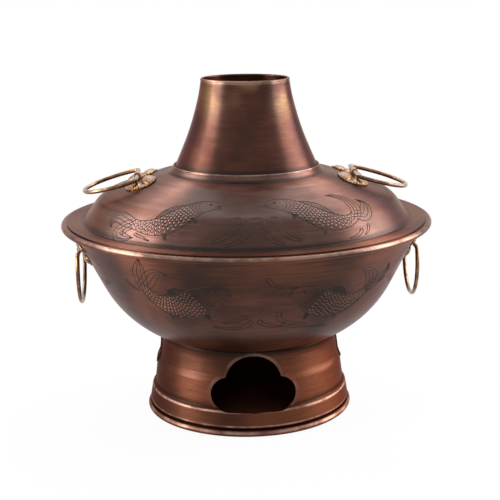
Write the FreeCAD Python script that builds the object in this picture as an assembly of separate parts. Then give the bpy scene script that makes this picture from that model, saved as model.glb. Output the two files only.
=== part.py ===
import FreeCAD, Part
import math
import os

from FreeCAD import Matrix, Placement, Rotation, Vector

# Chimney hot pot, millimetres. +Z is up; the origin is on the table, under the middle of the foot.
# The fire door faces -Y and the ring handles are on -X and +X.

# Overall
rim_radius = 160.0
flange_height = 170.0
pot_height = 290.0

# Sheet metal
bowl_sheet = 1.2
lid_sheet = 1.0
skirt_sheet = 1.2
tube_sheet = 1.5
seam_gap = 0.1

# Rolled edges, each turned round a wire
rim_wire_radius = 0.9
foot_wire_radius = 1.1
wire_gap = 0.3
curl_turn = 265.0
foot_land = 1.6

# Bowl
base_height = 70.5
bowl_floor_radius = 79.0
bowl_floor_fillet = 2.0
bowl_wall_inset = 48.4
bowl_bend_height = 86.8
bowl_bend_fillet = 98.0
bowl_wall_spread = 0.5
flange_fillet = 5.0

# Fire chamber and chimney
tube_radius = 72.0
tube_foot = 64.0
tube_straight_height = 150.0
belly_radius = 70.0
belly_height = 190.0
flare_radius = 61.3
flare_height = 215.5
throat_radius = 53.4
throat_height = 233.5
stack_radius = 45.8
stack_height = 254.2
upper_stack_radius = 40.2
upper_stack_height = 274.7
mouth_radius = 37.8
mouth_lean = 0.12
mouth_bead = 1.2
mouth_bead_proud = 0.3
arc_fit = 0.1
shelf_width = 6.0
shelf_fillet = 2.0

# Base
neck_radius = 77.3
neck_length = 7.5
neck_fillet = 1.5
skirt_fillet = 9.0
shoulder_radius = 81.3
shoulder_height = 44.6
shoulder_step = 1.9
shoulder_rise = 4.4
bulge_radius = 83.6
bulge_rise = 3.6
crease_radius = 83.2
crease_rise = 2.0
ledge_radius = 86.4
ledge_height = 20.6
ledge_fillet = 1.3
band_radius = 88.5
band_height = 8.2
foot_radius = 90.6
groove_rise = 2.6

# Fire door: three lobes on a flat sill, with a raised hem
door_sill = 19.8
door_height = 47.2
door_top_radius = 23.8
door_side_radius = 14.4
door_side_reach = 21.3
hem_width = 2.2
hem_height = 0.8
door_skin_turn = 80.0

# Side vents: a round coin of four leaves about a small square
vent_height = 52.0
vent_radius = 11.0
vent_rib = 1.6
vent_square = 3.6
vent_hem = 1.4
vent_skin_turn = 30.0

# Grate and ash floor
grate_thickness = 4.0
grate_gap = 0.6
grate_slot = 7.0
grate_bar = 6.0
grate_rim = 9.0
floor_sheet = 1.2
floor_drop = 1.6
floor_rim = 6.0
floor_gap = 0.3

# Lid
lid_edge_gap = 2.6
lid_flange_width = 19.0
lid_crease_fillet = 1.5
lid_shoulder_inset = 33.4
lid_shoulder_height = 191.6
lid_shoulder_fillet = 28.0
lid_crown_radius = 79.0
lid_crown_height = 208.5
lid_crown_fillet = 60.0
collar_root_radius = 66.8
collar_root_height = 210.8
collar_root_fillet = 4.0
collar_height = 215.6
collar_bead = 0.8
collar_bead_proud = 0.5
collar_gap = 0.4

# Ears: butterfly plates, each wing a toothed leaf with two raised petals and a valley between
ear_sheet = 1.0
ear_turn = 60.0
lid_ear_radius = 92.5
bowl_ear_drop = 23.5
wing_length = 16.8
wing_width = 13.6
wing_reach = 21.0
petal_length = 13.8
petal_width = 6.0
petal_height = 3.6
petal_side = 6.35
petal_lean_angle = 8.0
waist_length = 8.4
waist_width = 7.7
scallops = 15
scallop_radius = 0.8
scallop_span = 138.0

# Straps and rivets
hinge_height = 4.25
strap_sheet = 1.0
strap_length = 9.0
strap_reach = 7.4
rivet_reach = 5.2
rivet_radius = 1.1
rivet_head_radius = 1.9
rivet_head = 0.9
rivet_gap = 0.05

# Rings
ring_wire = 3.5
ring_radius = 32.0
ring_reach = 47.0
ring_corner = 4.0
pin_gap = 0.05
pin_end_gap = 1.0
lid_ring_angle = 15.0

ORIGIN = Vector(0, 0, 0)
RIGHT = Vector(1, 0, 0)
BACK = Vector(0, 1, 0)
UP = Vector(0, 0, 1)
FULL_TURN = 360.0
TINY = 1e-6

rim_curl = rim_wire_radius + wire_gap + bowl_sheet
rim_centre = Vector(rim_radius - rim_curl, 0, flange_height - rim_curl)
foot_curl = foot_wire_radius + wire_gap + skirt_sheet
foot_centre = Vector(foot_radius - foot_curl, 0, math.sqrt(foot_curl**2 - (foot_land / 2) ** 2))
crease_height = ledge_height + crease_rise
bowl_bend_radius = rim_radius - bowl_wall_inset
bowl_ear_height = flange_height - bowl_ear_drop
lid_crease_radius = rim_radius - lid_flange_width
lid_shoulder_radius = rim_radius - lid_shoulder_inset
wall_angle = math.degrees(math.atan(bowl_wall_spread))
crown_slope = math.degrees(
    math.atan2(lid_crown_height - lid_shoulder_height, lid_shoulder_radius - lid_crown_radius)
)


def at(radius, height):
    return Vector(radius, 0, height)


def line(start, end):
    return Part.LineSegment(start, end).toShape()


def rounded(corners):
    # Straight runs through (radius, height, fillet) corners, joined by tangent arcs.
    points = [at(r, z) for r, z, _ in corners]
    start = points[0]
    edges = []
    for before, here, after, corner in zip(points, points[1:], points[2:], corners[1:]):
        fillet = corner[2]
        back = (before - here).normalize()
        ahead = (after - here).normalize()
        half = back.getAngle(ahead) / 2
        reach = fillet / math.tan(half)
        middle = (back + ahead).normalize() * (fillet / math.sin(half) - fillet)
        entry = here + back * reach
        leave = here + ahead * reach
        if (entry - start).Length > TINY:
            edges.append(line(start, entry))
        edges.append(Part.Arc(entry, here + middle, leave).toShape())
        start = leave
    if (points[-1] - start).Length > TINY:
        edges.append(line(start, points[-1]))
    return edges


def arc_about(centre, radius, start, turn):
    angles = [math.radians(start + turn * share) for share in (0, 0.5, 1)]
    return Part.Arc(*[centre + at(radius * math.cos(a), radius * math.sin(a)) for a in angles]).toShape()


def sheet(edges, thickness):
    # The section of a sheet whose one face is the given line; plus is to the line's left.
    return Part.Wire(edges).makeOffset2D(thickness, 0, True, True)


def beaded(section, centre, radius):
    # A sheet's section with its edge rolled into a round bead.
    bead = Part.Face(Part.Wire(Part.Circle(centre, BACK, radius).toShape()))
    return section.fuse(bead).removeSplitter().Faces[0]


def spin(section, turn=FULL_TURN, middle=None):
    solid = section.revolve(ORIGIN, UP, turn)
    if middle is not None:
        solid.rotate(ORIGIN, UP, middle - turn / 2)
    return solid


def ring_of(centre, radius):
    return Part.makeTorus(centre.x, radius, Vector(0, 0, centre.z), UP)


def opposite(shape):
    copy = shape.copy()
    copy.rotate(ORIGIN, UP, 180)
    return copy


def both(shape):
    return [shape, opposite(shape)]


def fused(shapes):
    return shapes[0].multiFuse(shapes[1:]).removeSplitter()


# Bowl ------------------------------------------------------------------------------------------


def bowl_line():
    under = flange_height - bowl_sheet
    wall_top = bowl_bend_radius + (under - bowl_bend_height) * bowl_wall_spread
    edges = rounded(
        [
            (tube_radius + seam_gap, base_height, 0),
            (bowl_floor_radius, base_height, bowl_floor_fillet),
            (bowl_bend_radius, bowl_bend_height, bowl_bend_fillet),
            (wall_top, under, flange_fillet),
            (rim_centre.x, under, 0),
        ]
    )
    edges.append(arc_about(rim_centre, rim_wire_radius + wire_gap, 90, -curl_turn))
    return edges


def bowl():
    return spin(sheet(bowl_line(), bowl_sheet)).cut(rivet_holes(bowl_seat))


# Fire chamber and chimney ------------------------------------------------------------------------


def chimney_curve():
    stations = [
        at(tube_radius, tube_straight_height),
        at(belly_radius, belly_height),
        at(flare_radius, flare_height),
        at(throat_radius, throat_height),
        at(stack_radius, stack_height),
        at(upper_stack_radius, upper_stack_height),
        at(mouth_radius, pot_height - mouth_bead),
    ]
    curve = Part.BSplineCurve()
    curve.interpolate(Points=stations, InitialTangent=UP, FinalTangent=at(-mouth_lean, 1))
    return curve


def chimney_radius(height):
    # The outside radius of the chimney at a height, by halving along its curve.
    curve = chimney_curve()
    low = curve.FirstParameter
    high = curve.LastParameter
    while high - low > TINY:
        middle = (low + high) / 2
        if curve.value(middle).z < height:
            low = middle
        else:
            high = middle
    return curve.value(low).x


def chimney_tube():
    shelf = tube_radius - tube_sheet - shelf_width
    path = rounded(
        [
            (shelf, tube_foot, 0),
            (tube_radius, tube_foot, shelf_fillet),
            (tube_radius, tube_straight_height, 0),
        ]
    )
    path += [arc.toShape() for arc in chimney_curve().toBiArcs(arc_fit)]
    bead_centre = at(mouth_radius + mouth_bead_proud - mouth_bead, pot_height - mouth_bead)
    return spin(beaded(sheet(path, tube_sheet), bead_centre, mouth_bead))


def fire_grate():
    radius = tube_radius - tube_sheet - grate_gap
    seat = tube_foot + tube_sheet
    disc = Part.makeCylinder(radius, grate_thickness, Vector(0, 0, seat))
    inside = radius - grate_rim
    pitch = grate_slot + grate_bar
    rows = int((inside - grate_slot / 2) / pitch)
    slots = []
    for row in range(-rows, rows + 1):
        y = row * pitch
        end = math.sqrt(inside**2 - (abs(y) + grate_slot / 2) ** 2)
        length = end - grate_bar / 2
        corner = Vector(grate_bar / 2, y - grate_slot / 2, seat)
        if length > grate_slot:
            slots += both(Part.makeBox(length, grate_slot, grate_thickness, corner))
    return disc.cut(slots)


# Base --------------------------------------------------------------------------------------------


def skirt_side():
    # The outside of the skirt from the neck down to the crease above the ledge.
    return [
        (neck_radius, base_height - neck_length, skirt_fillet),
        (shoulder_radius - shoulder_step, shoulder_height + shoulder_rise, skirt_fillet),
        (shoulder_radius, shoulder_height, skirt_fillet),
        (bulge_radius, crease_height + bulge_rise, skirt_fillet),
        (crease_radius, crease_height, ledge_fillet),
    ]


def skirt_line():
    inner = foot_centre.x - foot_wire_radius - wire_gap
    edges = rounded(
        [(tube_radius + seam_gap, base_height, 0), (neck_radius, base_height, neck_fillet)]
        + skirt_side()
        + [
            (ledge_radius, ledge_height, ledge_fillet),
            (band_radius, band_height, ledge_fillet),
            (inner, foot_centre.z + groove_rise, ledge_fillet),
            (inner, foot_centre.z, 0),
        ]
    )
    edges.append(arc_about(foot_centre, foot_wire_radius + wire_gap, 180, curl_turn))
    return edges


def through(radius, y, z, direction):
    # A round cutter from the middle of the base outward along X or -Y.
    length = foot_radius + TINY
    if direction == RIGHT:
        return Part.makeCylinder(radius, length, Vector(0, y, z), RIGHT)
    return Part.makeCylinder(radius, length, Vector(y, 0, z), -BACK)


def door_cutter(grow):
    top_centre = door_sill + door_height - door_top_radius
    side_centre = door_sill + door_side_radius
    reach = door_side_reach
    sill = door_sill - grow
    box = Part.makeBox(2 * reach, foot_radius, top_centre - sill, Vector(-reach, -foot_radius, sill))
    lobes = [through(door_top_radius + grow, 0, top_centre, BACK)]
    for side in (-reach, reach):
        lobes.append(through(door_side_radius + grow, side, side_centre, BACK))
    return box.multiFuse(lobes)


def vent_cutters():
    radius = vent_radius - vent_rib / 2
    coin = through(radius, 0, vent_height, RIGHT)
    leaves = []
    for y in (-vent_radius, vent_radius):
        for z in (-vent_radius, vent_radius):
            leaves.append(coin.common(through(radius, y, vent_height + z, RIGHT)))
    middle = Vector(0, -vent_square / 2, vent_height - vent_square / 2)
    square = Part.makeBox(foot_radius, vent_square, vent_square, middle)
    square.rotate(Vector(0, 0, vent_height), RIGHT, 45)
    return leaves + [square]


def raised_skin(turn, middle):
    # A thin layer on the outside of the skirt, over part of its round.
    side = skirt_side()
    top = (neck_radius, base_height - neck_fillet, 0)
    foot = (side[-1][0], side[-1][1], 0)
    return spin(sheet(rounded([top] + side[:-1] + [foot]), hem_height), turn, middle)


def base_skirt():
    door = door_cutter(0)
    door_hem = door_cutter(hem_width).cut(door).common(raised_skin(door_skin_turn, 270))
    rim = through(vent_radius + vent_hem, 0, vent_height, RIGHT)
    vent_rim = rim.cut(through(vent_radius, 0, vent_height, RIGHT)).common(raised_skin(vent_skin_turn, 0))
    skirt = spin(sheet(skirt_line(), -skirt_sheet))
    under_table = Part.makeBox(4 * foot_radius, 4 * foot_radius, foot_curl)
    under_table.translate(Vector(-2 * foot_radius, -2 * foot_radius, -foot_curl))
    cutters = [door, under_table]
    for cutter in vent_cutters():
        cutters += both(cutter)
    return fused([skirt, door_hem] + both(vent_rim)).cut(cutters)


def ash_floor():
    top = ledge_height - floor_drop
    edge = ledge_radius - skirt_sheet - floor_gap
    path = rounded([(edge, top - floor_rim, 0), (edge, top, ledge_fillet), (0, top, 0)])
    return spin(sheet(path, floor_sheet))


# Lid ---------------------------------------------------------------------------------------------


def lid_line():
    lip = chimney_radius(collar_height) + collar_gap + lid_sheet
    return rounded(
        [
            (rim_centre.x - lid_edge_gap, flange_height + lid_sheet, 0),
            (lid_crease_radius, flange_height + lid_sheet, lid_crease_fillet),
            (lid_shoulder_radius, lid_shoulder_height, lid_shoulder_fillet),
            (lid_crown_radius, lid_crown_height, lid_crown_fillet),
            (collar_root_radius, collar_root_height, collar_root_fillet),
            (lip, collar_height, 0),
        ]
    )


def lid():
    lip = lid_line()[-1].lastVertex().Point
    bead_centre = lip + RIGHT * (collar_bead_proud - collar_bead)
    section = beaded(sheet(lid_line(), lid_sheet), bead_centre, collar_bead)
    return spin(section).cut(rivet_holes(lid_seat))


# Ears --------------------------------------------------------------------------------------------
# Each ear sits on a straight run of the lid or bowl. Its own frame has x down that run, y along the
# hinge and z away from the sheet, with the seat at z = 0.


class Seat:
    def __init__(self, point, tilt, inner_sheet):
        self.point = point
        self.inner_sheet = inner_sheet
        self.placement = Placement(point, Rotation(BACK, tilt))

    def place(self, shape, sideways=0.0):
        # Puts a shape made in the seat's frame on the pot, moved round it by an arc length.
        moved = shape.copy()
        moved.Placement = self.placement.multiply(moved.Placement)
        moved.rotate(ORIGIN, UP, math.degrees(sideways / self.point.x))
        return moved

    def layer(self, low, high, length, turn):
        # A conical layer that follows the sheet, between two heights above it.
        corners = [Vector(-length, 0, low), Vector(length, 0, low), Vector(length, 0, high)]
        corners += [Vector(-length, 0, high), Vector(-length, 0, low)]
        section = Part.Face(Part.makePolygon([self.placement.multVec(c) for c in corners]))
        return spin(section, turn, 0)


def on_crown(radius):
    share = (lid_shoulder_radius - radius) / (lid_shoulder_radius - lid_crown_radius)
    return at(radius, lid_shoulder_height + share * (lid_crown_height - lid_shoulder_height))


def on_wall(height):
    return at(bowl_bend_radius + (height - bowl_bend_height) * bowl_wall_spread, height)


lid_seat = Seat(on_crown(lid_ear_radius), crown_slope, lid_sheet)
bowl_seat = Seat(on_wall(bowl_ear_height), 90 + wall_angle, bowl_sheet)
ear_top = seam_gap + ear_sheet
strap_top = ear_top + seam_gap + strap_sheet


def rivet_spots():
    return [Vector(-rivet_reach, 0, 0), Vector(rivet_reach, 0, 0)]


def rivet_holes(seat):
    hole = rivet_radius + rivet_gap
    depth = seat.inner_sheet + strap_top
    cutters = []
    for spot in rivet_spots():
        start = spot - UP * (seat.inner_sheet + seam_gap)
        cutters += both(seat.place(Part.makeCylinder(hole, depth + 2 * seam_gap, start)))
    return cutters


def ellipse_prism(length, width, depth):
    # Long along y, from below the seat to above the petals.
    curve = Part.Ellipse(ORIGIN, length, width)
    face = Part.Face(Part.Wire(curve.toShape()))
    face.rotate(ORIGIN, UP, 90)
    face.translate(Vector(0, 0, -depth))
    return face.extrude(UP * 2 * depth)


def petal_dome(shrink):
    ball = Part.makeSphere(1.0)
    size = Matrix()
    size.scale(petal_width - shrink, petal_length - shrink, petal_height - shrink)
    return ball.transformGeometry(size)


def wing_outline(tip):
    # One wing's flat outline, scalloped round the end that points along +y or -y.
    outline = ellipse_prism(wing_length, wing_width, petal_height)
    notches = []
    for index in range(scallops):
        angle = math.radians(scallop_span * (2 * index / (scallops - 1) - 1))
        spot = Vector(wing_width * math.sin(angle), tip * wing_length * math.cos(angle), -petal_height)
        notches.append(Part.makeCylinder(scallop_radius, 2 * petal_height, spot))
    return outline.cut(notches)


def ear(seat):
    plate = seat.layer(seam_gap, ear_top, 2 * wing_width, ear_turn)
    above = seat.layer(seam_gap, seam_gap + 2 * petal_height, 2 * wing_width, ear_turn)
    outlines = [seat.place(ellipse_prism(waist_length, waist_width, petal_height))]
    domes = []
    hollows = []
    for tip in (-1, 1):
        outlines.append(seat.place(wing_outline(tip), tip * wing_reach))
        for side in (-1, 1):
            for shrink, group in ((0, domes), (ear_sheet, hollows)):
                dome = petal_dome(shrink)
                dome.rotate(ORIGIN, UP, side * tip * petal_lean_angle)
                dome.translate(RIGHT * side * petal_side)
                group.append(seat.place(dome, tip * wing_reach))
    flat = plate.common(fused(outlines))
    raised = fused(domes).common(above)
    holes = rivet_holes(seat)
    return fused([flat, raised]).cut(hollows + holes[::2])


def strap(seat):
    barrel = ring_wire / 2 + pin_gap + strap_sheet
    half = strap_length / 2
    bottom = ear_top + seam_gap
    feet = Part.makeBox(2 * strap_reach, strap_length, strap_sheet, Vector(-strap_reach, -half, bottom))
    web = Part.makeBox(
        2 * strap_sheet, strap_length, hinge_height - bottom, Vector(-strap_sheet, -half, bottom)
    )
    start = Vector(0, -half, hinge_height)
    tube = Part.makeCylinder(barrel, strap_length, start, BACK)
    bore = Part.makeCylinder(ring_wire / 2 + pin_gap, strap_length, start, BACK)
    body = seat.place(fused([feet, web, tube]).cut(bore))
    return body.cut(rivet_holes(seat)[::2])


def rivets(seat):
    solids = []
    for spot in rivet_spots():
        tail_top = -seat.inner_sheet - seam_gap
        shank = Part.makeCylinder(rivet_radius, strap_top + seam_gap - tail_top, spot + UP * tail_top)
        tail = Part.makeCylinder(rivet_head_radius, rivet_head, spot + UP * (tail_top - rivet_head))
        ball_radius = (rivet_head_radius**2 + rivet_head**2) / (2 * rivet_head)
        seat_height = strap_top + seam_gap / 2
        ball = Part.makeSphere(ball_radius, spot + UP * (seat_height + rivet_head - ball_radius))
        above = Part.makeCylinder(rivet_head_radius, rivet_head, spot + UP * seat_height)
        solids += both(seat.place(fused([shank, tail, ball.common(above)])))
    return Part.makeCompound(solids)


# Rings -------------------------------------------------------------------------------------------
# A ring's own frame has its hinge along y through the origin, and the ring lies along +x.


def ring():
    offset = ring_reach - ring_radius
    reach = ring_radius - ring_corner
    # The corner arcs touch the hinge line and the inside of the big circle.
    corner_y = math.sqrt(reach**2 - (offset - ring_corner) ** 2)
    centre = Vector(offset, 0, 0)
    edges = []
    touch = []
    for side in (-1, 1):
        corner = Vector(ring_corner, side * corner_y, 0)
        outward = (corner - centre).normalize()
        leave = corner + outward * ring_corner
        bisector = (outward - RIGHT).normalize()
        foot = Vector(0, side * corner_y, 0)
        end = Vector(0, side * pin_end_gap / 2, 0)
        arc = Part.Arc(foot, corner + bisector * ring_corner, leave).toShape()
        run = [line(end, foot), arc]
        touch.append(leave)
        edges.append(run)
    big = Part.Arc(touch[0], Vector(ring_reach, 0, 0), touch[1]).toShape()
    path = Part.Wire(Part.__sortEdges__(edges[0] + [big] + edges[1]))
    section = Part.Wire(Part.Circle(path.OrderedVertexes[0].Point, BACK, ring_wire / 2).toShape())
    return path.makePipeShell([section], True, True)


def hung_ring(seat, drop):
    # The ring on the seat's hinge, pointing outward and down by the given angle.
    hinge = seat.placement.multVec(Vector(0, 0, hinge_height))
    body = ring()
    body.Placement = Placement(hinge, Rotation(BACK, drop))
    return body


def pair(name, shape):
    return {name + "_right": shape, name + "_left": opposite(shape)}


def main():
    nodes = {
        "base_skirt": base_skirt(),
        "foot_wire": ring_of(foot_centre, foot_wire_radius),
        "ash_floor": ash_floor(),
        "fire_grate": fire_grate(),
        "chimney_tube": chimney_tube(),
        "bowl": bowl(),
        "rim_wire": ring_of(rim_centre, rim_wire_radius),
        "lid": lid(),
        "lid_rivets": rivets(lid_seat),
        "bowl_rivets": rivets(bowl_seat),
    }
    nodes.update(pair("lid_ear", ear(lid_seat)))
    nodes.update(pair("bowl_ear", ear(bowl_seat)))
    nodes.update(pair("lid_strap", strap(lid_seat)))
    nodes.update(pair("bowl_strap", strap(bowl_seat)))
    nodes.update(pair("lid_ring", hung_ring(lid_seat, lid_ring_angle)))
    nodes.update(pair("bowl_ring", hung_ring(bowl_seat, 90)))
    os.makedirs("parts", exist_ok=True)
    for name, shape in nodes.items():
        shape.exportStep("parts/" + name + ".step")


main()
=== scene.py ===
import math

import bmesh
import bpy
from mathutils import Matrix, Vector
from mathutils.bvhtree import BVHTree


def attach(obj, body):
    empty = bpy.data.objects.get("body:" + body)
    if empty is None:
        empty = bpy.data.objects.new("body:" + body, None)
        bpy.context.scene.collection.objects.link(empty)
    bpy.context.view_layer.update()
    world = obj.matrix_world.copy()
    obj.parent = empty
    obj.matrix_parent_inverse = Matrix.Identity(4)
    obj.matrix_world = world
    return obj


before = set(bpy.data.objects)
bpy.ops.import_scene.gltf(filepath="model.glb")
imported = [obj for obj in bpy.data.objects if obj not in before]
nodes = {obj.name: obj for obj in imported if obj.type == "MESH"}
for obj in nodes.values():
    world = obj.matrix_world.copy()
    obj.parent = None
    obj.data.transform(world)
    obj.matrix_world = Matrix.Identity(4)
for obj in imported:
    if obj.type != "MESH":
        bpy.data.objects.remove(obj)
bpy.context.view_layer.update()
scene = bpy.context.scene
scene.view_settings.view_transform = "Standard"
print("frame loaded:", len(nodes), "nodes")


# Camera: metres and degrees, looking at the fire door a little from its left

cameraSettings = {
    "focalLength": 84.44,
    "sensorWidth": 36.0,
    "clip": (0.01, 50.0),
    "distance": 1.0045,
    "height": 0.3768,
    "aroundPot": -2.5,
    "pitchDown": 13.33,
    "yawRight": 1.673,
    "roll": -0.43,
    "shiftX": -0.0616,
}


def makeCamera(s):
    data = bpy.data.cameras.new("studioCamera")
    data.lens = s["focalLength"]
    data.sensor_width = s["sensorWidth"]
    data.shift_x = s["shiftX"]
    data.clip_start, data.clip_end = s["clip"]
    camera = bpy.data.objects.new("studioCamera", data)
    scene.collection.objects.link(camera)
    around = math.radians(s["aroundPot"])
    yaw = math.radians(s["yawRight"])
    pitch = math.radians(s["pitchDown"])
    roll = math.radians(s["roll"])
    ahead = Vector((math.sin(yaw) * math.cos(pitch), math.cos(yaw) * math.cos(pitch),
                    -math.sin(pitch)))
    right = Vector((math.cos(yaw), -math.sin(yaw), 0))
    up = right.cross(ahead)
    rolledRight = math.cos(roll) * right + math.sin(roll) * up
    rolledUp = math.cos(roll) * up - math.sin(roll) * right
    axes = Matrix((rolledRight, rolledUp, -ahead)).transposed()
    place = Matrix.Translation((0, -s["distance"], s["height"])) @ axes.to_4x4()
    camera.matrix_world = Matrix.Rotation(around, 4, "Z") @ place
    scene.camera = camera


makeCamera(cameraSettings)


# Node helpers: each adds to a tree and gives back an output


def link(tree, source, target):
    tree.links.new(source, target)


def addNode(tree, kind, **values):
    node = tree.nodes.new(kind)
    for name, value in values.items():
        setattr(node, name, value)
    return node


def setSockets(node, values):
    for name, value in values.items():
        node.inputs[name].default_value = value


def maths(tree, operation, *values):
    node = addNode(tree, "ShaderNodeMath", operation=operation)
    for socket, value in zip(node.inputs, values):
        if isinstance(value, (int, float)):
            socket.default_value = value
        else:
            link(tree, value, socket)
    return node.outputs[0]


def diagonal(tree, first, second):
    squares = maths(tree, "ADD", maths(tree, "MULTIPLY", first, first),
                    maths(tree, "MULTIPLY", second, second))
    return maths(tree, "SQRT", squares)


def ranged(tree, value, low, high, toLow, toHigh):
    # goes smoothly from toLow at low to toHigh at high
    node = addNode(tree, "ShaderNodeMapRange", interpolation_type="SMOOTHSTEP")
    link(tree, value, node.inputs["Value"])
    setSockets(node, {"From Min": low, "From Max": high, "To Min": toLow, "To Max": toHigh})
    return node.outputs[0]


def noise(tree, vector, scale, detail, roughness):
    node = addNode(tree, "ShaderNodeTexNoise")
    link(tree, vector, node.inputs["Vector"])
    setSockets(node, {"Scale": scale, "Detail": detail, "Roughness": roughness})
    return node.outputs["Fac"]


def blotches(tree, vector, noiseNumbers, spread):
    return ranged(tree, noise(tree, vector, *noiseNumbers), *spread)


def blendColour(tree, factor, first, second):
    # goes from the first colour to the second; inputs 6 and 7 and output 2 are the colour ones
    node = addNode(tree, "ShaderNodeMix", data_type="RGBA", blend_type="MIX")
    link(tree, factor, node.inputs["Factor"])
    for socket, value in ((node.inputs[6], first), (node.inputs[7], second)):
        if isinstance(value, tuple):
            socket.default_value = (*value, 1)
        else:
            link(tree, value, socket)
    return node.outputs[2]


def objectPlace(tree):
    return addNode(tree, "ShaderNodeTexCoord").outputs["Object"]


def separated(tree, vector):
    parts = addNode(tree, "ShaderNodeSeparateXYZ")
    link(tree, vector, parts.inputs[0])
    return parts.outputs


# Studio: floor, world and lamps, each lamp aimed at a height on the pot's axis

studioSettings = {
    "floorSize": 30.0,
    "floorColour": (0.82, 0.82, 0.82, 1),
    "floorGlow": 0.93,
    "shadowReach": (0.1, 0.45),
    "backColour": (1, 1, 1, 1),
    "worldForDiffuse": 0.2,
    "lamps": {
        "leftSoftbox": {"at": (-1.22, -0.26, 0.36), "size": (0.62, 0.7), "power": 19, "aim": 0.16},
        "rightSoftbox": {"at": (1.25, 0.1, 0.42), "size": (1.1, 0.76), "power": 20, "aim": 0.16},
        "topSoftbox": {"at": (0.2, 0.75, 1.12), "size": (1.4, 1.0), "power": 10, "aim": 0.15},
        "highLeftSoftbox": {"at": (-0.95, 0.3, 0.95), "size": (0.6, 0.6), "power": 8, "aim": 0.18},
        "highRightSoftbox": {"at": (0.95, 0.3, 0.95), "size": (0.6, 0.6), "power": 8, "aim": 0.18},
    },
}


def backgroundShare(tree):
    # one for rays from the camera, and for what metal mirrors or glass lets through
    path = addNode(tree, "ShaderNodeLightPath")
    seen = maths(tree, "MAXIMUM", path.outputs["Is Camera Ray"], path.outputs["Is Glossy Ray"])
    return maths(tree, "MAXIMUM", seen, path.outputs["Is Transmission Ray"])


def makeFloor(s):
    half = s["floorSize"] / 2
    mesh = bpy.data.meshes.new("studioFloor")
    corners = [(-half, -half, 0), (half, -half, 0), (half, half, 0), (-half, half, 0)]
    mesh.from_pydata(corners, [], [(0, 1, 2, 3)])
    floor = bpy.data.objects.new("studioFloor", mesh)
    scene.collection.objects.link(floor)
    material = bpy.data.materials.new("paleFloor")
    material.use_nodes = True
    tree = material.node_tree
    tree.nodes.clear()
    matte = addNode(tree, "ShaderNodeBsdfDiffuse")
    setSockets(matte, {"Color": s["floorColour"]})
    glow = addNode(tree, "ShaderNodeEmission")
    setSockets(glow, {"Color": s["backColour"], "Strength": 1.0})
    # the matte share keeps the pot's shadow on the floor
    away = addNode(tree, "ShaderNodeVectorMath", operation="LENGTH")
    link(tree, objectPlace(tree), away.inputs[0])
    nearGlow = ranged(tree, away.outputs["Value"], *s["shadowReach"], s["floorGlow"], 1)
    surface = addNode(tree, "ShaderNodeMixShader")
    out = addNode(tree, "ShaderNodeOutputMaterial")
    link(tree, maths(tree, "MULTIPLY", backgroundShare(tree), nearGlow), surface.inputs[0])
    link(tree, matte.outputs[0], surface.inputs[1])
    link(tree, glow.outputs[0], surface.inputs[2])
    link(tree, surface.outputs[0], out.inputs["Surface"])
    mesh.materials.append(material)


def makeWorld(s):
    world = bpy.data.worlds.new("studioWorld")
    scene.world = world
    world.use_nodes = True
    tree = world.node_tree
    tree.nodes.clear()
    back = addNode(tree, "ShaderNodeBackground")
    setSockets(back, {"Color": s["backColour"]})
    out = addNode(tree, "ShaderNodeOutputWorld")
    level = ranged(tree, backgroundShare(tree), 0, 1, s["worldForDiffuse"], 1)
    link(tree, level, back.inputs["Strength"])
    link(tree, back.outputs[0], out.inputs["Surface"])


def makeLamp(name, s):
    data = bpy.data.lights.new(name, "AREA")
    data.shape = "RECTANGLE"
    data.size, data.size_y = s["size"]
    data.energy = s["power"]
    lamp = bpy.data.objects.new(name, data)
    scene.collection.objects.link(lamp)
    lamp.location = s["at"]
    heading = Vector((0, 0, s["aim"])) - Vector(s["at"])
    lamp.rotation_euler = heading.to_track_quat("-Z", "Y").to_euler()


makeFloor(studioSettings)
makeWorld(studioSettings)
for lampName, lampSettings in studioSettings["lamps"].items():
    makeLamp(lampName, lampSettings)
print("studio made")


# Finishes: a noise is scale, detail and roughness, a spread what its low and high values become


def startMaterial(name):
    material = bpy.data.materials.new(name)
    material.use_nodes = True
    tree = material.node_tree
    return material, tree, tree.nodes["Principled BSDF"]


def addBump(tree, shader, height, strength, distance):
    bump = addNode(tree, "ShaderNodeBump")
    setSockets(bump, {"Strength": strength, "Distance": distance})
    link(tree, height, bump.inputs["Height"])
    link(tree, bump.outputs[0], shader.inputs["Normal"])


# the fire door's hem is lighter: rubbed bare metal, partly a painted highlight
fireDoor = {
    "lobes": ((0.0, 0.0432, 0.0238), (0.0213, 0.0342, 0.0144)),
    "sill": 0.0225,
    "hem": 0.0022,
    "hemFade": 1.3,
    "share": 0.22,
    "rubAndHighlightNoise": (45.0, 2.0, 0.5),
    "rubAndHighlightSpread": (0.4, 0.6, 0.2, 1),
}


def nearDoor(tree, place, door):
    # the hem round the fire door's lobes, each given as reach, height and radius: rubbed bare
    # metal, partly a painted highlight
    x, y, z = separated(tree, place)
    aside = maths(tree, "ABSOLUTE", x)
    gaps = []
    for reach, height, radius in door["lobes"]:
        away = diagonal(tree, maths(tree, "SUBTRACT", aside, reach),
                        maths(tree, "SUBTRACT", z, height))
        gaps.append(maths(tree, "SUBTRACT", away, radius))
    hem = ranged(tree, maths(tree, "MINIMUM", *gaps), door["hem"], door["hemFade"] * door["hem"],
                 door["share"], 0)
    rubAndHighlight = blotches(tree, place, door["rubAndHighlightNoise"], door["rubAndHighlightSpread"])
    front = maths(tree, "MULTIPLY", maths(tree, "LESS_THAN", y, 0),
                  maths(tree, "GREATER_THAN", z, door["sill"]))
    return maths(tree, "MULTIPLY", hem, maths(tree, "MULTIPLY", rubAndHighlight, front))


def nearCircle(tree, radius, height, circle, core):
    # one near a circle round the pot's axis, and fading from a core of its width to the width
    atRadius, atHeight, width = circle
    away = diagonal(tree, maths(tree, "SUBTRACT", radius, atRadius),
                    maths(tree, "SUBTRACT", height, atHeight))
    return ranged(tree, away, core * width, width, 1, 0)


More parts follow.
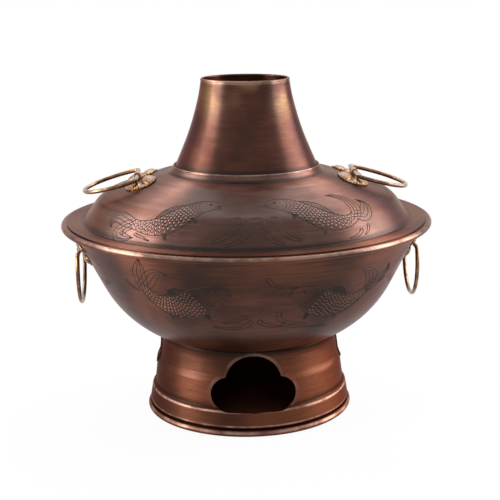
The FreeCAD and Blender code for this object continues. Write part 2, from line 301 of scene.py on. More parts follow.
copperSockets = {
    "Metallic": 1.0,
    "Specular Tint": (0.57, 0.35, 0.27, 1),
    "Anisotropic": 1.0,
    "Anisotropic Rotation": 0.25,
    "Coat Weight": 0.5,
    "Coat Roughness": 0.3,
}
# what all copper shares; each piece adds its clean and patina colours
copperSettings = {
    "sockets": copperSockets,
    # dark grime for brush strokes and specks, also the painted shade in creases and under edges
    "grimeAndShade": (0.012, 0.006, 0.004),
    # bare copper for rubbed spots, also the colour of the painted highlights on beads, lips and the
    # fire door's hem
    "bareAndHighlight": (0.42, 0.25, 0.19),
    "strokeScale": 1300.0,
    "strokeLength": 3.0,
    "wideStretch": (0.6, 0.6, 0.12),
    "fineNoise": (1.0, 3.0, 0.65),
    "fineGrime": (0.3, 0.62, 0.4, 0),
    "fineRough": (0.25, 0.75, 0.44, 0.36),
    "wideNoise": (1.0, 3.0, 0.6),
    "wideSpread": (0.35, 0.7, 0, 0.55),
    "patchNoise": (14.0, 4.0, 0.55),
    "patchSpread": (0.36, 0.66, 0, 1),
    "patchRough": (0.3, 0.7, 0.05, -0.03),
    "speckNoise": (420.0, 2.0, 0.6),
    "speckSpread": (0.66, 0.78, 0, 0.4),
    "rubAndHighlightNoise": (60.0, 3.0, 0.6),
    "rubAndHighlightSpread": (0.35, 0.6, 0.15, 0.62),
    "grimeAndShadeShare": 0.85,
    "circleCore": 0.3,
    "bump": (0.05, 0.0004),
    "tints": (),
    "wearAndHighlight": (),
    "grimeAndShadeCircles": (),
    "door": None,
}


def brushedCopper(name, s):
    material, tree, shader = startMaterial(name)
    place = objectPlace(tree)
    x, y, z = separated(tree, place)
    radius = diagonal(tree, x, y)
    angle = maths(tree, "ARCTAN2", y, x)
    # strokes run round the pot; the cosine and sine of the angle close them on themselves
    stroke = addNode(tree, "ShaderNodeCombineXYZ")
    for socket, turned in zip(stroke.inputs, ("COSINE", "SINE")):
        link(tree, maths(tree, "MULTIPLY", maths(tree, turned, angle), s["strokeLength"]), socket)
    across = maths(tree, "MULTIPLY", maths(tree, "SUBTRACT", z, radius), s["strokeScale"])
    link(tree, across, stroke.inputs[2])
    wideStroke = addNode(tree, "ShaderNodeVectorMath", operation="MULTIPLY")
    link(tree, stroke.outputs[0], wideStroke.inputs[0])
    wideStroke.inputs[1].default_value = s["wideStretch"]
    fine = noise(tree, stroke.outputs[0], *s["fineNoise"])
    patches = noise(tree, place, *s["patchNoise"])

    base = blendColour(tree, ranged(tree, patches, *s["patchSpread"]), s["patina"], s["clean"])
    wide = blotches(tree, wideStroke.outputs[0], s["wideNoise"], s["wideSpread"])
    base = blendColour(tree, wide, base, s["patina"])
    for tint in s["tints"]:
        share = maths(tree, "MULTIPLY", ranged(tree, z, *tint["heights"]),
                      blotches(tree, place, tint["noise"], tint["spread"]))
        base = blendColour(tree, share, base, tint["colour"])
    base = blendColour(tree, ranged(tree, fine, *s["fineGrime"]), base, s["grimeAndShade"])
    specks = blotches(tree, place, s["speckNoise"], s["speckSpread"])
    base = blendColour(tree, specks, base, s["grimeAndShade"])
    # lighter circles: rubbed bare metal, partly a painted highlight along beads, lips and ledges
    for circle in s["wearAndHighlight"]:
        near = nearCircle(tree, radius, z, circle, s["circleCore"])
        rubAndHighlight = blotches(tree, place, s["rubAndHighlightNoise"], s["rubAndHighlightSpread"])
        base = blendColour(tree, maths(tree, "MULTIPLY", near, rubAndHighlight), base, s["bareAndHighlight"])
    # darker circles: painted shade in creases, under lips and along the lid's edge, partly dirt
    for circle in s["grimeAndShadeCircles"]:
        near = nearCircle(tree, radius, z, circle, s["circleCore"])
        share = maths(tree, "MULTIPLY", near, s["grimeAndShadeShare"])
        base = blendColour(tree, share, base, s["grimeAndShade"])
    # the fire door's hem: rubbed bare metal, partly a painted highlight
    if s["door"]:
        base = blendColour(tree, nearDoor(tree, place, s["door"]), base, s["bareAndHighlight"])
    link(tree, base, shader.inputs["Base Color"])

    rough = maths(tree, "ADD", ranged(tree, fine, *s["fineRough"]),
                  ranged(tree, patches, *s["patchRough"]))
    link(tree, rough, shader.inputs["Roughness"])
    setSockets(shader, s["sockets"])
    tangent = addNode(tree, "ShaderNodeTangent", direction_type="RADIAL", axis="Z")
    link(tree, tangent.outputs[0], shader.inputs["Tangent"])
    addBump(tree, shader, fine, *s["bump"])
    return material


# a tint's heights say where on the pot it is full and where it is gone
warmTint = {"noise": (9.0, 3.0, 0.5), "spread": (0.4, 0.62, 0.15, 0.8)}
heatTint = {
    "colour": (0.26, 0.15, 0.07),
    "heights": (0.25, 0.285, 0, 1),
    "noise": (22.0, 2.0, 0.5),
    "spread": (0.48, 0.66, 0, 0.6),
}
# the lighter and darker circles are round the pot, as radius, height and width; the lighter ones
# are rubbed bare metal with a painted highlight on beads, lips and ledges, the darker ones dirt
# with painted shade in creases, under edges and along the lid's edge
skirtSettings = dict(
    copperSettings,
    clean=(0.078, 0.026, 0.014),
    patina=(0.028, 0.009, 0.005),
    fineRough=(0.25, 0.75, 0.54, 0.46),
    sockets={**copperSockets, "Anisotropic": 0.45, "Coat Weight": 0.12},
    tints=(dict(warmTint, colour=(0.128, 0.039, 0.018), heights=(0.05, 0.075, 1, 0)),),
    wearAndHighlight=((0.0902, 0.0038, 0.0022), (0.0864, 0.0206, 0.0016), (0.0885, 0.0082, 0.0014)),
    grimeAndShadeCircles=((0.0866, 0.0062, 0.0022), (0.0832, 0.0226, 0.0018), (0.0785, 0.0695, 0.005)),
    door=fireDoor,
)
bowlSettings = dict(
    copperSettings,
    clean=(0.108, 0.039, 0.023),
    patina=(0.028, 0.009, 0.005),
    sockets={**copperSockets, "Coat Weight": 0.65, "Coat IOR": 1.32},
    # a warmer band under the rim: partly heat colour, partly a painted reflection of the lit flange
    tints=(dict(warmTint, colour=(0.160, 0.052, 0.024), heights=(0.165, 0.125, 1, 0)),),
    wearAndHighlight=((0.1593, 0.1693, 0.0024),),
    grimeAndShadeCircles=((0.1540, 0.1665, 0.0035), (0.0800, 0.0712, 0.006)),
)
lidSettings = dict(
    copperSettings,
    clean=(0.195, 0.093, 0.071),
    patina=(0.074, 0.031, 0.021),
    sockets={**copperSockets, "Coat Weight": 0.36},
    wearAndHighlight=((0.0628, 0.2160, 0.0014),),
    grimeAndShadeCircles=((0.1404, 0.1713, 0.0042), (0.1551, 0.1703, 0.0010), (0.0668, 0.2104, 0.0035)),
)
chimneySettings = dict(
    copperSettings,
    clean=(0.092, 0.027, 0.014),
    patina=(0.040, 0.011, 0.006),
    sockets={**copperSockets, "Anisotropic": 0.9, "Coat Weight": 0.28},
    tints=(heatTint,),
    wearAndHighlight=((0.0381, 0.2888, 0.0024),),
    grimeAndShadeCircles=((0.0612, 0.2165, 0.0045),),
)
lidStampedSettings = dict(copperSettings, clean=(0.26, 0.145, 0.12), patina=(0.15, 0.075, 0.06))
bowlStampedSettings = dict(copperSettings, clean=(0.20, 0.088, 0.062), patina=(0.11, 0.045, 0.030))


# the seats of the ears, as radius, height and slope in degrees, and the rays on their wings
lidLeaf = {
    "radius": 0.0925,
    "height": 0.2037,
    "slope": -19.6,
    "wingReach": 0.021,
    "rays": 36,
    "raySpread": (-0.1, 0.7, 0, 1),
    "from": (0.002, 0.006),
    "share": 0.8,
}
bowlLeaf = dict(lidLeaf, radius=0.1415, height=0.1465, slope=-116.6)


def leafRays(tree, place, leaf):
    # the dark between the rays that fan out from the middle of an ear's wings
    x, y, z = separated(tree, place)
    slope = math.radians(leaf["slope"])
    outward = maths(tree, "SUBTRACT", maths(tree, "ABSOLUTE", x), leaf["radius"])
    upward = maths(tree, "SUBTRACT", z, leaf["height"])
    along = maths(tree, "ADD", maths(tree, "MULTIPLY", outward, math.cos(slope)),
                  maths(tree, "MULTIPLY", upward, math.sin(slope)))
    aside = maths(tree, "SUBTRACT", maths(tree, "ABSOLUTE", y), leaf["wingReach"])
    fan = maths(tree, "MULTIPLY", maths(tree, "ARCTAN2", aside, along), leaf["rays"])
    dark = ranged(tree, maths(tree, "SINE", fan), *leaf["raySpread"])
    outer = ranged(tree, diagonal(tree, along, aside), *leaf["from"], 0, leaf["share"])
    return maths(tree, "MULTIPLY", outer, dark)


earBrassSettings = {
    "sockets": {"Metallic": 1.0, "Coat Weight": 0.2, "Coat Roughness": 0.2},
    "bright": (0.46, 0.245, 0.105),
    "wearAndHighlight": (0.25, 0.110, 0.042),
    "dark": (0.030, 0.014, 0.008),
    "cloudNoise": (90.0, 4.0, 0.6),
    "cloudSpread": (0.38, 0.62, 0, 1),
    "cloudRough": (0.3, 0.7, 0.46, 0.28),
    "grainNoise": (900.0, 2.0, 0.6),
    "grainSpread": (0.52, 0.75, 0, 0.35),
    "bump": (0.15, 0.0003),
    "leaf": None,
}
ringBrassSettings = dict(
    earBrassSettings,
    sockets={**earBrassSettings["sockets"], "Coat Weight": 0.6},
    bright=(0.26, 0.130, 0.052),
    wearAndHighlight=(0.090, 0.036, 0.014),
    grainSpread=(0.52, 0.75, 0, 0.55),
)


def agedBrass(name, s):
    material, tree, shader = startMaterial(name)
    place = objectPlace(tree)
    clouds = noise(tree, place, *s["cloudNoise"])
    grain = noise(tree, place, *s["grainNoise"])
    base = blendColour(tree, ranged(tree, clouds, *s["cloudSpread"]), s["wearAndHighlight"], s["bright"])
    base = blendColour(tree, ranged(tree, grain, *s["grainSpread"]), base, s["dark"])
    if s["leaf"]:
        base = blendColour(tree, leafRays(tree, place, s["leaf"]), base, s["dark"])
    link(tree, base, shader.inputs["Base Color"])
    link(tree, ranged(tree, clouds, *s["cloudRough"]), shader.inputs["Roughness"])
    setSockets(shader, s["sockets"])
    addBump(tree, shader, grain, *s["bump"])
    return material


ironSettings = {
    "sockets": {"Metallic": 0.6, "Roughness": 0.75},
    "colour": (0.045, 0.04, 0.037),
    "cloudColour": (0.11, 0.045, 0.02),
    "cloudNoise": (60.0, 4.0, 0.6),
    "cloudSpread": (0.5, 0.7, 0, 0.8),
    "grainNoise": (700.0, 3.0, 0.6),
    "bump": (0.4, 0.0006),
}
engravedSettings = {
    "sockets": {"Metallic": 0.5, "Roughness": 0.6},
    "colour": (0.010, 0.005, 0.004),
    "cloudColour": (0.030, 0.013, 0.009),
    "cloudNoise": (120.0, 3.0, 0.6),
    "cloudSpread": (0.45, 0.7, 0, 1),
    "bump": None,
}


def dullMetal(name, s):
    material, tree, shader = startMaterial(name)
    place = objectPlace(tree)
    clouds = blotches(tree, place, s["cloudNoise"], s["cloudSpread"])
    base = blendColour(tree, clouds, s["colour"], s["cloudColour"])
    link(tree, base, shader.inputs["Base Color"])
    setSockets(shader, s["sockets"])
    if s["bump"]:
        addBump(tree, shader, noise(tree, place, *s["grainNoise"]), *s["bump"])
    return material


finishMakers = {
    "skirtCopper": (brushedCopper, skirtSettings),
    "bowlCopper": (brushedCopper, bowlSettings),
    "lidCopper": (brushedCopper, lidSettings),
    "chimneyCopper": (brushedCopper, chimneySettings),
    "lidStamped": (brushedCopper, lidStampedSettings),
    "bowlStamped": (brushedCopper, bowlStampedSettings),
    "engravedDark": (dullMetal, engravedSettings),
    "ringBrass": (agedBrass, ringBrassSettings),
    "earBrass": (agedBrass, earBrassSettings),
    "lidEarBrass": (agedBrass, dict(earBrassSettings, leaf=lidLeaf)),
    "bowlEarBrass": (agedBrass, dict(earBrassSettings, leaf=bowlLeaf)),
    "grateIron": (dullMetal, ironSettings),
}
finishes = {name: make(name, settings) for name, (make, settings) in finishMakers.items()}
# the rings have ringBrass, and the straps and rivets, which aren't named here, earBrass
finishOfNode = {
    "base_skirt": "skirtCopper",
    "ash_floor": "skirtCopper",
    "foot_wire": "grateIron",
    "rim_wire": "grateIron",
    "fire_grate": "grateIron",
    "bowl": "bowlCopper",
    "lid": "lidCopper",
    "chimney_tube": "chimneyCopper",
    "lid_ear_left": "lidEarBrass",
    "lid_ear_right": "lidEarBrass",
    "bowl_ear_left": "bowlEarBrass",
    "bowl_ear_right": "bowlEarBrass",
}


def oneFinish(mesh, finish):
    mesh.materials.clear()
    mesh.materials.append(finish)
    for face in mesh.polygons:
        face.material_index = 0


for nodeName, node in nodes.items():
    usual = "ringBrass" if "_ring_" in nodeName else "earBrass"
    oneFinish(node.data, finishes[finishOfNode.get(nodeName, usual)])
print("finishes made:", len(finishes))


# Engraving: carp and waves drawn flat in millimetres, then wrapped on the lid and the bowl


class EngravedBand:
    # a band of the lid or bowl, unrolled: u runs round it and v down its slope, in millimetres
    def __init__(self, node, rays, s):
        mesh = nodes[node].data
        skin = BVHTree.FromPolygons([v.co for v in mesh.vertices],
                                    [p.vertices for p in mesh.polygons])
        hits = [skin.ray_cast(Vector(origin), Vector(direction))[0] for origin, direction in rays]
        self.line = [(1000 * math.hypot(hit.x, hit.y), 1000 * hit.z) for hit in hits]
        self.down = [0.0]
        for here, ahead in zip(self.line, self.line[1:]):
            self.down.append(self.down[-1] + math.dist(here, ahead))
        self.turnRadius = s["turnRadius"]
        self.keyIndex = s["keyIndex"]

    def flat(self, azimuth, key):
        # the azimuth is in degrees from the front towards +X, the key a radius or a height
        keys = [point[self.keyIndex] for point in self.line]
        best = min(range(len(keys) - 1), key=lambda i: abs(keys[i] + keys[i + 1] - 2 * key))
        share = (key - keys[best]) / (keys[best + 1] - keys[best])
        return Vector((math.radians(azimuth) * self.turnRadius,
                       self.down[best] + share * (self.down[best + 1] - self.down[best])))

    def wrapped(self, u, v, sunk):
        # the place on the sheet, sunk in metres, and the way out of the sheet there
        place = min(max(v, 0.0), self.down[-1] - 0.01)
        step = next(i for i in range(len(self.down) - 1) if self.down[i + 1] > place)
        (r0, z0), (r1, z1) = self.line[step], self.line[step + 1]
        length = self.down[step + 1] - self.down[step]
        share = (place - self.down[step]) / length
        turn = u / self.turnRadius
        outR, outZ = (z0 - z1) / length, (r1 - r0) / length
        radius = (r0 + share * (r1 - r0)) / 1000 - sunk * outR
        height = (z0 + share * (z1 - z0)) / 1000 - sunk * outZ
        point = Vector((radius * math.sin(turn), -radius * math.cos(turn), height))
        outward = Vector((outR * math.sin(turn), -outR * math.cos(turn), outZ))
        return point, outward


def evenLine(points, step):
    lengths = [0.0]
    for here, ahead in zip(points, points[1:]):
        lengths.append(lengths[-1] + (ahead - here).length)
    count = max(2, round(lengths[-1] / step))
    line = []
    index = 0
    for number in range(count + 1):
        goal = lengths[-1] * number / count
        while index < len(points) - 2 and lengths[index + 1] < goal:
            index += 1
        share = (goal - lengths[index]) / max(lengths[index + 1] - lengths[index], 1e-9)
        line.append(points[index].lerp(points[index + 1], min(share, 1)))
    return line


def smoothLine(points, step, between=12):
    # a Catmull-Rom line through flat points, stepped evenly
    ends = [2 * points[0] - points[1], *points, 2 * points[-1] - points[-2]]
    dense = []
    for a, b, c, d in zip(ends, ends[1:], ends[2:], ends[3:]):
        for count in range(between):
            t = count / between
            dense.append(0.5 * (2 * b + (c - a) * t + (2 * a - 5 * b + 4 * c - d) * t * t
                                + (3 * b - a - 3 * c + d) * t ** 3))
    dense.append(points[-1])
    return evenLine(dense, step)


def headingAt(points, index, reach=1):
    ahead = points[min(index + reach, len(points) - 1)]
    return (ahead - points[max(index - reach, 0)]).normalized()


def leftOf(heading):
    return Vector((-heading.y, heading.x))


def keyed(table, t):
    for (t0, w0), (t1, w1) in zip(table, table[1:]):
        if t <= t1:
            return w0 + (w1 - w0) * (t - t0) / (t1 - t0)
    return table[-1][1]


# lengths in millimetres; t goes from nought at the snout to one at the root of the tail
carpSettings = {
    "outline": [(0, 0.24), (0.03, 0.42), (0.09, 0.6), (0.18, 0.8), (0.3, 0.96), (0.4, 1.0),
                (0.6, 0.86), (0.8, 0.55), (0.93, 0.36), (1, 0.36)],
    "outlineSteps": 40,
    "spineStep": 0.5,
    "headingReach": 6,
    "snoutBulge": 2.0,
    "snoutSteps": 4,
    "gills": (0.19, 0.225, 0.26, 0.29),
    "gillBulge": 0.045,
    "gillReach": 0.9,
    "gillSteps": 8,
    "eye": (0.105, 0.3, 1.3),
    "pupil": 0.35,
    "eyeSteps": 6,
    "mouth": ((-1, 0), (2.5, 0.9), (4, 0.6)),
    "barbelRoot": (1.5, 1.8),
    "barbelCurl": (0.6, 0.4),
    "barbels": ((3.0, 5.0), (1.6, 6.2)),
    "dorsalFin": (0.32, 0.74, 6.5, 15),
    "finPeak": 0.6,
    "finFoot": 0.3,
    "finLean": 0.55,
    "finBow": 0.3,
    "fans": ((0.29, 7.0, 9), (0.62, 5.0, 6)),
    "fanSpread": (-0.1, 1.25),
    "fanFoot": 0.6,
    "fanStep": 0.35,
    "tailCurves": 4,
    "tailStep": 1.0,
    "tailSwell": 3.0,
    "scalesFrom": 0.33,
    "scalesTo": 0.985,
    "scalePitch": 3.35,
    "rowPitch": 0.8,
    "scaleMargin": 0.6,
}


class Spine:
    # the carp's middle line, from its snout to the root of its tail
    def __init__(self, points, girth, s):
        self.points = smoothLine(points, s["spineStep"])
        self.girth = girth
        self.outline = s["outline"]
        self.reach = s["headingReach"]

    def at(self, t, across):
        # across is a share of the half width, to the left of the way the points run
        place = min(max(t, 0.0), 1.0) * (len(self.points) - 1)
        index = min(int(place), len(self.points) - 2)
        here, ahead = self.points[index], self.points[index + 1]
        forward = headingAt(self.points, index, self.reach)
        left = leftOf(forward)
        middle = here.lerp(ahead, place - index)
        return middle + left * across * self.width(t), forward, left

    def width(self, t):
        return self.girth * keyed(self.outline, t)


def drawHead(spine, back, s, lines):
    # the carp's outline, snout, gills, eye, mouth and barbels
    for side in (1, -1):
        lines.append([spine.at(n / s["outlineSteps"], side)[0]
                      for n in range(s["outlineSteps"] + 1)])
    snout, forward, left = spine.at(0, 0)
    steps = s["snoutSteps"]
    lines.append([spine.at(0, a / steps)[0] - forward * s["snoutBulge"] * (1 - a * a / steps ** 2)
                  for a in range(-steps, steps + 1)])
    steps = s["gillSteps"]
    for t in s["gills"]:
        lines.append([spine.at(t + s["gillBulge"] * (1 - (a / steps) ** 2),
                               a / steps * s["gillReach"])[0] for a in range(-steps, steps + 1)])
    t, across, radius = s["eye"]
    centre = spine.at(t, back * across)[0]
    turns = [n * math.pi / s["eyeSteps"] for n in range(2 * s["eyeSteps"] + 1)]
    for size in (radius, radius * s["pupil"]):
        lines.append([centre + size * Vector((math.cos(turn), math.sin(turn))) for turn in turns])
    lines.append([snout + forward * along - left * back * down for along, down in s["mouth"]])
    along, down = s["barbelRoot"]
    root = snout + forward * along - left * back * down
    sag, tuck = s["barbelCurl"]
    for reach, bend in s["barbels"]:
        lines.append([root, snout - forward * reach - left * back * bend * sag,
                      snout - forward * reach * tuck - left * back * bend])


def drawFins(spine, back, s, lines):
    # the rayed fin along the back, then the fans of strokes below the belly
    start, end, height, rays = s["dorsalFin"]
    rim = []
    for n in range(rays + 1):
        share = n / rays
        foot, forward, left = spine.at(start + (end - start) * share, back)
        rise = height * math.sin(math.pi * share ** s["finPeak"]) + s["finFoot"]
        tip = foot + left * back * rise + forward * rise * s["finLean"]
        rim.append(tip)
        if 0 < n < rays:
            lines.append([foot, foot.lerp(tip, 0.5) + left * back * s["finBow"], tip])
    lines.append([spine.at(start, back)[0], *rim, spine.at(end, back)[0]])
    first, swing = s["fanSpread"]
    for at, reach, strokes in s["fans"]:
        foot, forward, left = spine.at(at, -back)
        for n in range(strokes):
            spread = first + swing * n / (strokes - 1)
            heading = forward * math.cos(spread) - left * back * math.sin(spread)
            lines.append([foot + heading * s["fanFoot"] + forward * n * s["fanStep"],
                          foot + heading * reach + forward * n * s["fanStep"]])


def drawTail(spine, lobes, s, lines):
    root = spine.at(1, 0)[0]
    for lobe in lobes:
        guide = smoothLine([root, *lobe], s["tailStep"])
        for n in range(s["tailCurves"]):
            spread = (n / (s["tailCurves"] - 1) - 0.5) * 2
            curve = []
            for index, point in enumerate(guide):
                share = index / (len(guide) - 1)
                swell = s["tailSwell"] * math.sin(math.pi * share)
                width = spread * (spine.width(1) * (1 - share) + swell)
                curve.append(point + leftOf(headingAt(guide, index)) * width)
            lines.append(curve)


def drawScales(spine, s, stamps):
    # rows across the body, every other one half a scale aside
    length = s["spineStep"] * len(spine.points)
    reach = s["scalesTo"] - s["scalesFrom"]
    rows = int(reach * length / (s["scalePitch"] * s["rowPitch"]))
    for row in range(rows + 1):
        t = s["scalesFrom"] + reach * row / rows
        half = spine.width(t) - s["scaleMargin"]
        count = max(1, round(2 * half / s["scalePitch"]))
        pitch = 2 * half / count
        if row % 2:
            offsets = [(n + 0.5) * pitch - half for n in range(count)]
        else:
            offsets = [n * pitch - half for n in range(1, count)]
        point, forward, left = spine.at(t, 0)
        stamps += [(point + left * offset, forward, pitch / s["scalePitch"]) for offset in offsets]


def drawCarp(band, fish, s, lines, stamps):
    spine = Spine([band.flat(*point) for point in fish["spine"]], fish["girth"], s)
    drawHead(spine, fish["back"], s, lines)
    drawFins(spine, fish["back"], s, lines)
    drawTail(spine, [[band.flat(*point) for point in lobe] for lobe in fish["tail"]], s, lines)
    drawScales(spine, s, stamps)


hookSettings = {
    "stemStep": 1.0,
    "curlSteps": 20,
    "turns": 0.8,
    "shrink": 0.5,
    "beside": (0.35, 1.1),
}


def drawHook(band, hook, s, lines):
    # a wave: a stem that ends in a curl, with a second stem beside it
    stem = smoothLine([band.flat(*point) for point in hook["stem"]], s["stemStep"])
    heading = (stem[-1] - stem[-3]).normalized()
    side = hook["side"]
    left = leftOf(heading) * side
    centre = stem[-1] + left * hook["curl"]
    curl = []
    for n in range(1, s["curlSteps"] + 1):
        turn = n / s["curlSteps"] * 2 * math.pi * hook.get("turns", s["turns"])
        radius = hook["curl"] * (1 - s["shrink"] * n / s["curlSteps"])
        curl.append(centre - left * radius * math.cos(turn) + heading * radius * math.sin(turn))
    lines.append(stem + curl)
    near, widening = s["beside"]
    beside = []
    for index, point in enumerate(stem):
        gap = near + widening * (index / (len(stem) - 1))
        beside.append(point + leftOf(headingAt(stem, index)) * side * hook["curl"] * gap)
    lines.append(beside)


# rays that find the lid's slope from above and the bowl's from the front, in metres;
# turnRadius, by which a band is unrolled, is in millimetres
lidBandSettings = {
    "above": 0.4,
    "from": 0.0805,
    "step": 0.0009,
    "rays": 70,
    "turnRadius": 120.0,
    "keyIndex": 0,
}
bowlBandSettings = {
    "before": 0.3,
    "from": 0.1655,
    "step": 0.0015,
    "rays": 61,
    "turnRadius": 128.0,
    "keyIndex": 1,
}


def lidRays(s):
    return [((0, -s["from"] - s["step"] * n, s["above"]), (0, 0, -1)) for n in range(s["rays"])]


def bowlRays(s):
    return [((0, -s["before"], s["from"] - s["step"] * n), (0, 1, 0)) for n in range(s["rays"])]


lidBand = EngravedBand("lid", lidRays(lidBandSettings), lidBandSettings)
bowlBand = EngravedBand("bowl", bowlRays(bowlBandSettings), bowlBandSettings)

# points are degrees from the front and a radius on the lid, or a height on the bowl
lidDrawing = {
    "carp": [
        {"spine": [(-14, 105.5), (-18, 105.8), (-22, 108.8), (-25.3, 115), (-29, 125), (-34, 130.5),
                   (-40, 132), (-46, 131.5)],
         "girth": 11.5, "back": 1,
         "tail": [[(-50, 130.5), (-54.5, 129.5), (-57.5, 132.5), (-56, 136)],
                  [(-49, 134), (-51, 137.5), (-47.5, 138.8), (-43, 138)]]},
        {"spine": [(5.4, 103.8), (11, 104.2), (16.4, 108.6), (20.7, 117), (25, 125.5), (30, 129.5),
                   (36, 130), (40.5, 127.5)],
         "girth": 11.5, "back": -1,
         "tail": [[(43, 120), (44, 110), (41, 102), (37, 99)],
                  [(44, 129), (47, 126), (50, 119), (49, 112)]]},
    ],
    "hooks": [
        {"stem": [(-14.5, 136.5), (-11, 134), (-8.6, 130), (-7.8, 124)],
         "curl": 4.6, "side": 1, "turns": 0.9},
        {"stem": [(-10, 138), (-6, 135.5), (-3.2, 131), (-2, 124)],
         "curl": 4.4, "side": 1, "turns": 0.9},
        {"stem": [(10, 138), (6.5, 135.5), (4.2, 131), (3.2, 124)],
         "curl": 4.4, "side": -1, "turns": 0.9},
        {"stem": [(15.5, 136.5), (12, 134), (9.8, 130), (9, 124)],
         "curl": 4.4, "side": -1, "turns": 0.9},
        {"stem": [(33, 139), (37, 138.5), (39.5, 137)], "curl": 2.0, "side": -1},
        {"stem": [(40, 138.6), (42.6, 137), (44, 134.8)], "curl": 1.8, "side": -1},
        {"stem": [(-36, 138.6), (-39.5, 137.6), (-42.5, 137)], "curl": 1.6, "side": 1},
    ],
}

bowlDrawing = {
    "carp": [
        {"spine": [(-9.5, 137.5), (-13.5, 135), (-17.9, 130), (-22.5, 124.5), (-27.5, 121.5),
                   (-32.5, 122.5), (-36.4, 127), (-38.8, 132.5), (-39.8, 137)],
         "girth": 13.5, "back": 1,
         "tail": [[(-39.6, 143), (-39, 150), (-37.6, 158), (-37, 163)],
                  [(-37, 142), (-34.5, 148), (-31.5, 151.5), (-28, 150)]]},
        {"spine": [(12.6, 137), (16, 133.5), (20, 127.5), (25, 121.5), (30, 118.5), (35.5, 118.5),
                   (40, 121.5), (43.2, 126)],
         "girth": 13.5, "back": -1,
         "tail": [[(44.6, 131), (44, 138), (41, 145), (37, 148.5)],
                  [(47, 130), (50.5, 135), (53, 140), (52, 147)]]},
    ],
    "hooks": [
        {"stem": [(-16, 104.5), (-10, 102.3), (-4.5, 103.2), (-1.2, 107.5)],
         "curl": 3.0, "side": -1},
        {"stem": [(-12, 109), (-8, 111.5), (-4.2, 116)], "curl": 2.6, "side": 1},
        {"stem": [(10.5, 103.8), (5, 104.4), (1.2, 107.8)], "curl": 3.0, "side": 1},
        {"stem": [(20, 104.8), (13, 106), (8.6, 110), (7.4, 115.5)], "curl": 3.0, "side": 1},
        {"stem": [(30, 99), (21, 100.5), (14, 102.5), (10.2, 105.5)], "curl": 2.2, "side": 1},
        {"stem": [(14, 141), (9.5, 141.5), (6, 144.5), (4.6, 149.5)], "curl": 2.4, "side": -1},
        {"stem": [(46, 128), (50, 128.5), (53.4, 131)], "curl": 2.4, "side": -1},
        {"stem": [(-42.5, 131.5), (-45.2, 135.5), (-45.8, 140)], "curl": 2.0, "side": -1},
    ],
}

# metres here, but for lineStep, which is in the drawing's millimetres
engravingSettings = {
    "sunk": 0.00016,
    "lineStep": 1.1,
    "line": {"lineRadius": 0.00042, "lineSides": 5},
    "scaleEdge": {"lineRadius": 0.00050, "lineSides": 4},
    "scaleDome": {"domeSize": (0.00130, 0.00142, 0.00046)},
}
stampAttributes = {"outward": "FLOAT_VECTOR", "facing": "FLOAT_VECTOR", "size": "FLOAT"}


def lineMesh(name, band, lines, s):
    corners = []
    edges = []
    for line in lines:
        even = evenLine(line, s["lineStep"])
        first = len(corners)
        corners += [band.wrapped(point.x, point.y, s["sunk"])[0] for point in even]
        edges += [(n, n + 1) for n in range(first, len(corners) - 1)]
    mesh = bpy.data.meshes.new(name)
    mesh.from_pydata(corners, edges, [])
    return mesh


def stampMesh(name, band, stamps, s):
    mesh = bpy.data.meshes.new(name)
    places = [band.wrapped(point.x, point.y, s["sunk"]) for point, facing, size in stamps]
    mesh.from_pydata([point for point, outward in places], [], [])
    for attribute, kind in stampAttributes.items():
        mesh.attributes.new(attribute, kind, "POINT")
    for index, ((point, outward), (flatPoint, facing, size)) in enumerate(zip(places, stamps)):
        ahead = band.wrapped(flatPoint.x + facing.x, flatPoint.y + facing.y, s["sunk"])[0]
        mesh.attributes["outward"].data[index].vector = outward
        mesh.attributes["facing"].data[index].vector = (ahead - point).normalized()
        mesh.attributes["size"].data[index].value = size
    return mesh


inputKinds = {
    "lineRadius": "NodeSocketFloat",
    "lineSides": "NodeSocketInt",
    "domeSize": "NodeSocketVector",
    "finish": "NodeSocketMaterial",
}


def newTree(name, *inputs):
    # a Geometry Nodes tree with named inputs; gives the tree and its first and last nodes
    tree = bpy.data.node_groups.new(name, "GeometryNodeTree")
    tree.interface.new_socket(name="Geometry", in_out="INPUT", socket_type="NodeSocketGeometry")
    for inputName in (*inputs, "finish"):
        tree.interface.new_socket(name=inputName, in_out="INPUT",
                                  socket_type=inputKinds[inputName])
    tree.interface.new_socket(name="Geometry", in_out="OUTPUT", socket_type="NodeSocketGeometry")
    return tree, tree.nodes.new("NodeGroupInput"), tree.nodes.new("NodeGroupOutput")


def finishTree(tree, start, end, geometry):
    realize = addNode(tree, "GeometryNodeRealizeInstances")
    paint = addNode(tree, "GeometryNodeSetMaterial")
    link(tree, geometry, realize.inputs[0])
    link(tree, realize.outputs[0], paint.inputs["Geometry"])
    link(tree, start.outputs["finish"], paint.inputs["Material"])
    link(tree, paint.outputs[0], end.inputs[0])


def addTube(tree, start, line):
    section = addNode(tree, "GeometryNodeCurvePrimitiveCircle")
    link(tree, start.outputs["lineSides"], section.inputs["Resolution"])
    link(tree, start.outputs["lineRadius"], section.inputs["Radius"])
    tube = addNode(tree, "GeometryNodeCurveToMesh")
    setSockets(tube, {"Fill Caps": True})
    link(tree, line, tube.inputs["Curve"])
    link(tree, section.outputs[0], tube.inputs["Profile Curve"])
    return tube.outputs[0]


def makeLineTree():
    tree, start, end = newTree("engravedLines", "lineRadius", "lineSides")
    curve = addNode(tree, "GeometryNodeMeshToCurve")
    link(tree, start.outputs["Geometry"], curve.inputs["Mesh"])
    finishTree(tree, start, end, addTube(tree, start, curve.outputs[0]))
    return tree


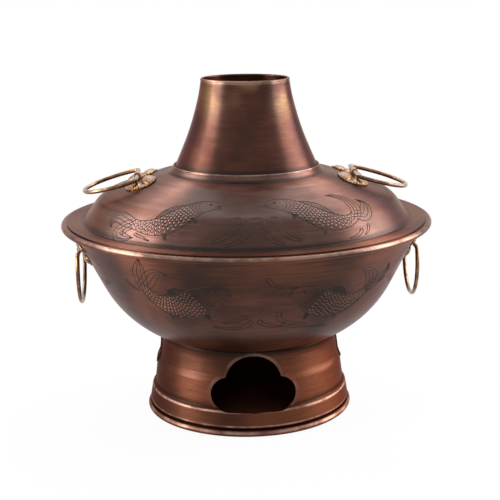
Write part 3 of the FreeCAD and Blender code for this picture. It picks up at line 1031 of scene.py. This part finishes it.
def spreadStamp(tree, start, end, stamp):
    # one stamp on each point, standing on the sheet, facing the tail and sized
    attributes = {}
    for name, kind in stampAttributes.items():
        attribute = addNode(tree, "GeometryNodeInputNamedAttribute", data_type=kind)
        setSockets(attribute, {"Name": name})
        attributes[name] = attribute.outputs[0]
    stand = addNode(tree, "FunctionNodeAlignRotationToVector", axis="Z")
    turn = addNode(tree, "FunctionNodeAlignRotationToVector", axis="X", pivot_axis="Z")
    link(tree, attributes["outward"], stand.inputs["Vector"])
    link(tree, stand.outputs[0], turn.inputs["Rotation"])
    link(tree, attributes["facing"], turn.inputs["Vector"])
    spread = addNode(tree, "GeometryNodeInstanceOnPoints")
    link(tree, start.outputs["Geometry"], spread.inputs["Points"])
    link(tree, stamp, spread.inputs["Instance"])
    link(tree, turn.outputs[0], spread.inputs["Rotation"])
    link(tree, attributes["size"], spread.inputs["Scale"])
    finishTree(tree, start, end, spread.outputs[0])
    return tree


scaleSettings = {
    "arc": {"Resolution": 6, "Radius": 0.00145, "Start Angle": math.radians(-95),
            "Sweep Angle": math.radians(190)},
    "dome": {"Segments": 8, "Rings": 4, "Radius": 1.0},
}


def makeEdgeTree(s):
    # a scale's round edge, as a line
    tree, start, end = newTree("scaleEdges", "lineRadius", "lineSides")
    arc = addNode(tree, "GeometryNodeCurveArc")
    setSockets(arc, s["arc"])
    return spreadStamp(tree, start, end, addTube(tree, start, arc.outputs[0]))


def makeDomeTree(s):
    # a scale's low dome
    tree, start, end = newTree("scaleDomes", "domeSize")
    ball = addNode(tree, "GeometryNodeMeshUVSphere")
    setSockets(ball, s["dome"])
    squash = addNode(tree, "GeometryNodeTransform")
    link(tree, ball.outputs[0], squash.inputs["Geometry"])
    link(tree, start.outputs["domeSize"], squash.inputs["Scale"])
    return spreadStamp(tree, start, end, squash.outputs[0])


def grown(name, mesh, tree, values):
    # runs a tree on a mesh and keeps the result as a plain mesh
    seed = bpy.data.objects.new(name + "Seed", mesh)
    scene.collection.objects.link(seed)
    modifier = seed.modifiers.new("grow", "NODES")
    modifier.node_group = tree
    for item in tree.interface.items_tree:
        if item.in_out == "INPUT" and item.name in values:
            modifier[item.identifier] = values[item.name]
    evaluated = seed.evaluated_get(bpy.context.evaluated_depsgraph_get())
    plain = bpy.data.meshes.new_from_object(evaluated)
    seed.modifiers.clear()
    bpy.data.objects.remove(seed)
    piece = bpy.data.objects.new(name, plain)
    plain.name = name
    oneFinish(plain, values["finish"])
    scene.collection.objects.link(piece)
    return piece


def outwardFaces(piece):
    work = bmesh.new()
    work.from_mesh(piece.data)
    bmesh.ops.recalc_face_normals(work, faces=work.faces)
    work.to_mesh(piece.data)
    work.free()


def engrave(prefix, band, drawing, body, stamped, s):
    lines = []
    stamps = []
    for fish in drawing["carp"]:
        drawCarp(band, fish, carpSettings, lines, stamps)
    for hook in drawing["hooks"]:
        drawHook(band, hook, hookSettings, lines)
    # the same drawing again on the back
    behind = Vector((math.pi * band.turnRadius, 0))
    lines += [[point + behind for point in line] for line in lines]
    stamps += [(point + behind, facing, size) for point, facing, size in stamps]
    dark = {"finish": finishes["engravedDark"]}
    made = [
        grown(prefix + "Lines", lineMesh(prefix + "Lines", band, lines, s), makeLineTree(),
              {**s["line"], **dark}),
        grown(prefix + "ScaleEdges", stampMesh(prefix + "Stamps", band, stamps, s),
              makeEdgeTree(scaleSettings), {**s["scaleEdge"], **dark}),
        grown(prefix + "ScaleDomes", stampMesh(prefix + "Stamps", band, stamps, s),
              makeDomeTree(scaleSettings), {**s["scaleDome"], "finish": finishes[stamped]}),
    ]
    for piece in made:
        outwardFaces(piece)
        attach(piece, body)
    print(prefix, "engraved:", len(lines), "lines,", len(stamps), "scales,",
          sum(len(piece.data.polygons) for piece in made), "faces")


engrave("lidCarp", lidBand, lidDrawing, "lid", "lidStamped", engravingSettings)
engrave("bowlCarp", bowlBand, bowlDrawing, "pot", "bowlStamped", engravingSettings)
